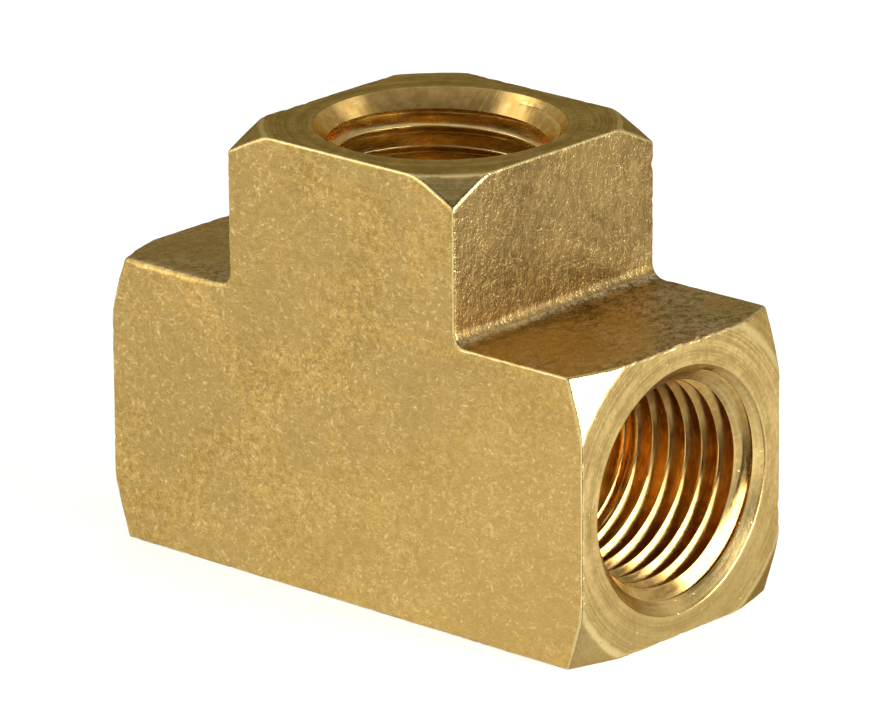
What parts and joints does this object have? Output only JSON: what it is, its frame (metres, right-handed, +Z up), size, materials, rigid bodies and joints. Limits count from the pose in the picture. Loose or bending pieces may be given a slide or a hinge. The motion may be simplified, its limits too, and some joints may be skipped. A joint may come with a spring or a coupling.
{
  "type": "pipe tee",
  "caption": "Square-bar brass pipe tee with a straight run, an upright branch and tapered female threads in all its ports.",
  "frame": {"origin": "middle of the base, the flat underside of the run", "axes": "+X along the run, +Y through its depth, +Z up the branch"},
  "size_m": [0.055, 0.0262, 0.0406],
  "materials": {
    "brass": "tumbled satin outside, bright turned threads"
  },
  "bodies": {
    "root": {"tee_body": "brass"}
  },
  "joints": []
}
